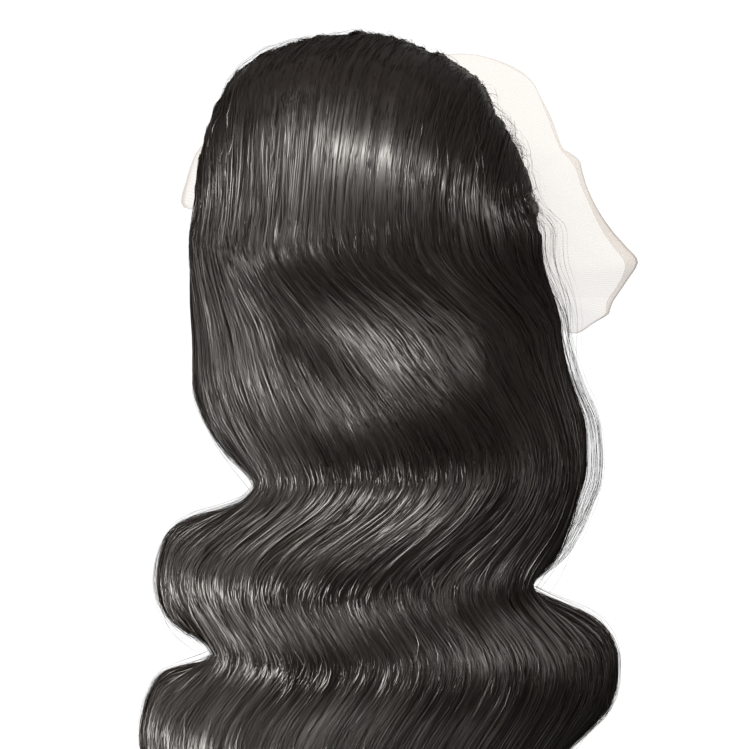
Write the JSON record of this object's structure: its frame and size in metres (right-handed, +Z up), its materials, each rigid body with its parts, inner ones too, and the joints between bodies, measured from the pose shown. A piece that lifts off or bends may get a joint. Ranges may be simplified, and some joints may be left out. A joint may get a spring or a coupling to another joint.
{
  "type": "lace front wig",
  "caption": "Long body wave lace front wig on an open stretch cap, with an uncut lace margin turned out from the hairline.",
  "frame": {"origin": "inside of the cap at the crown, where the head carries the wig", "axes": "+Z up, the face opening looks along -Y, the wearer's left is +X, as the wig sits when worn"},
  "size_m": [0.2637, 0.2262, 0.4434],
  "materials": {
    "hair": "off-black long hair with a soft silky shine",
    "lace": "sheer cream lace net, matt",
    "cap_net": "dark brown stretch net with sewn wefts, matt"
  },
  "bodies": {
    "root": {"wig_cap": "cap_net", "lace_front": "lace", "hair_crown": "hair", "hair_lock_1": "hair", "hair_lock_2": "hair", "hair_lock_3": "hair", "hair_lock_4": "hair", "hair_lock_5": "hair", "hair_lock_6": "hair", "hair_lock_7": "hair", "hair_lock_8": "hair"}
  },
  "joints": []
}
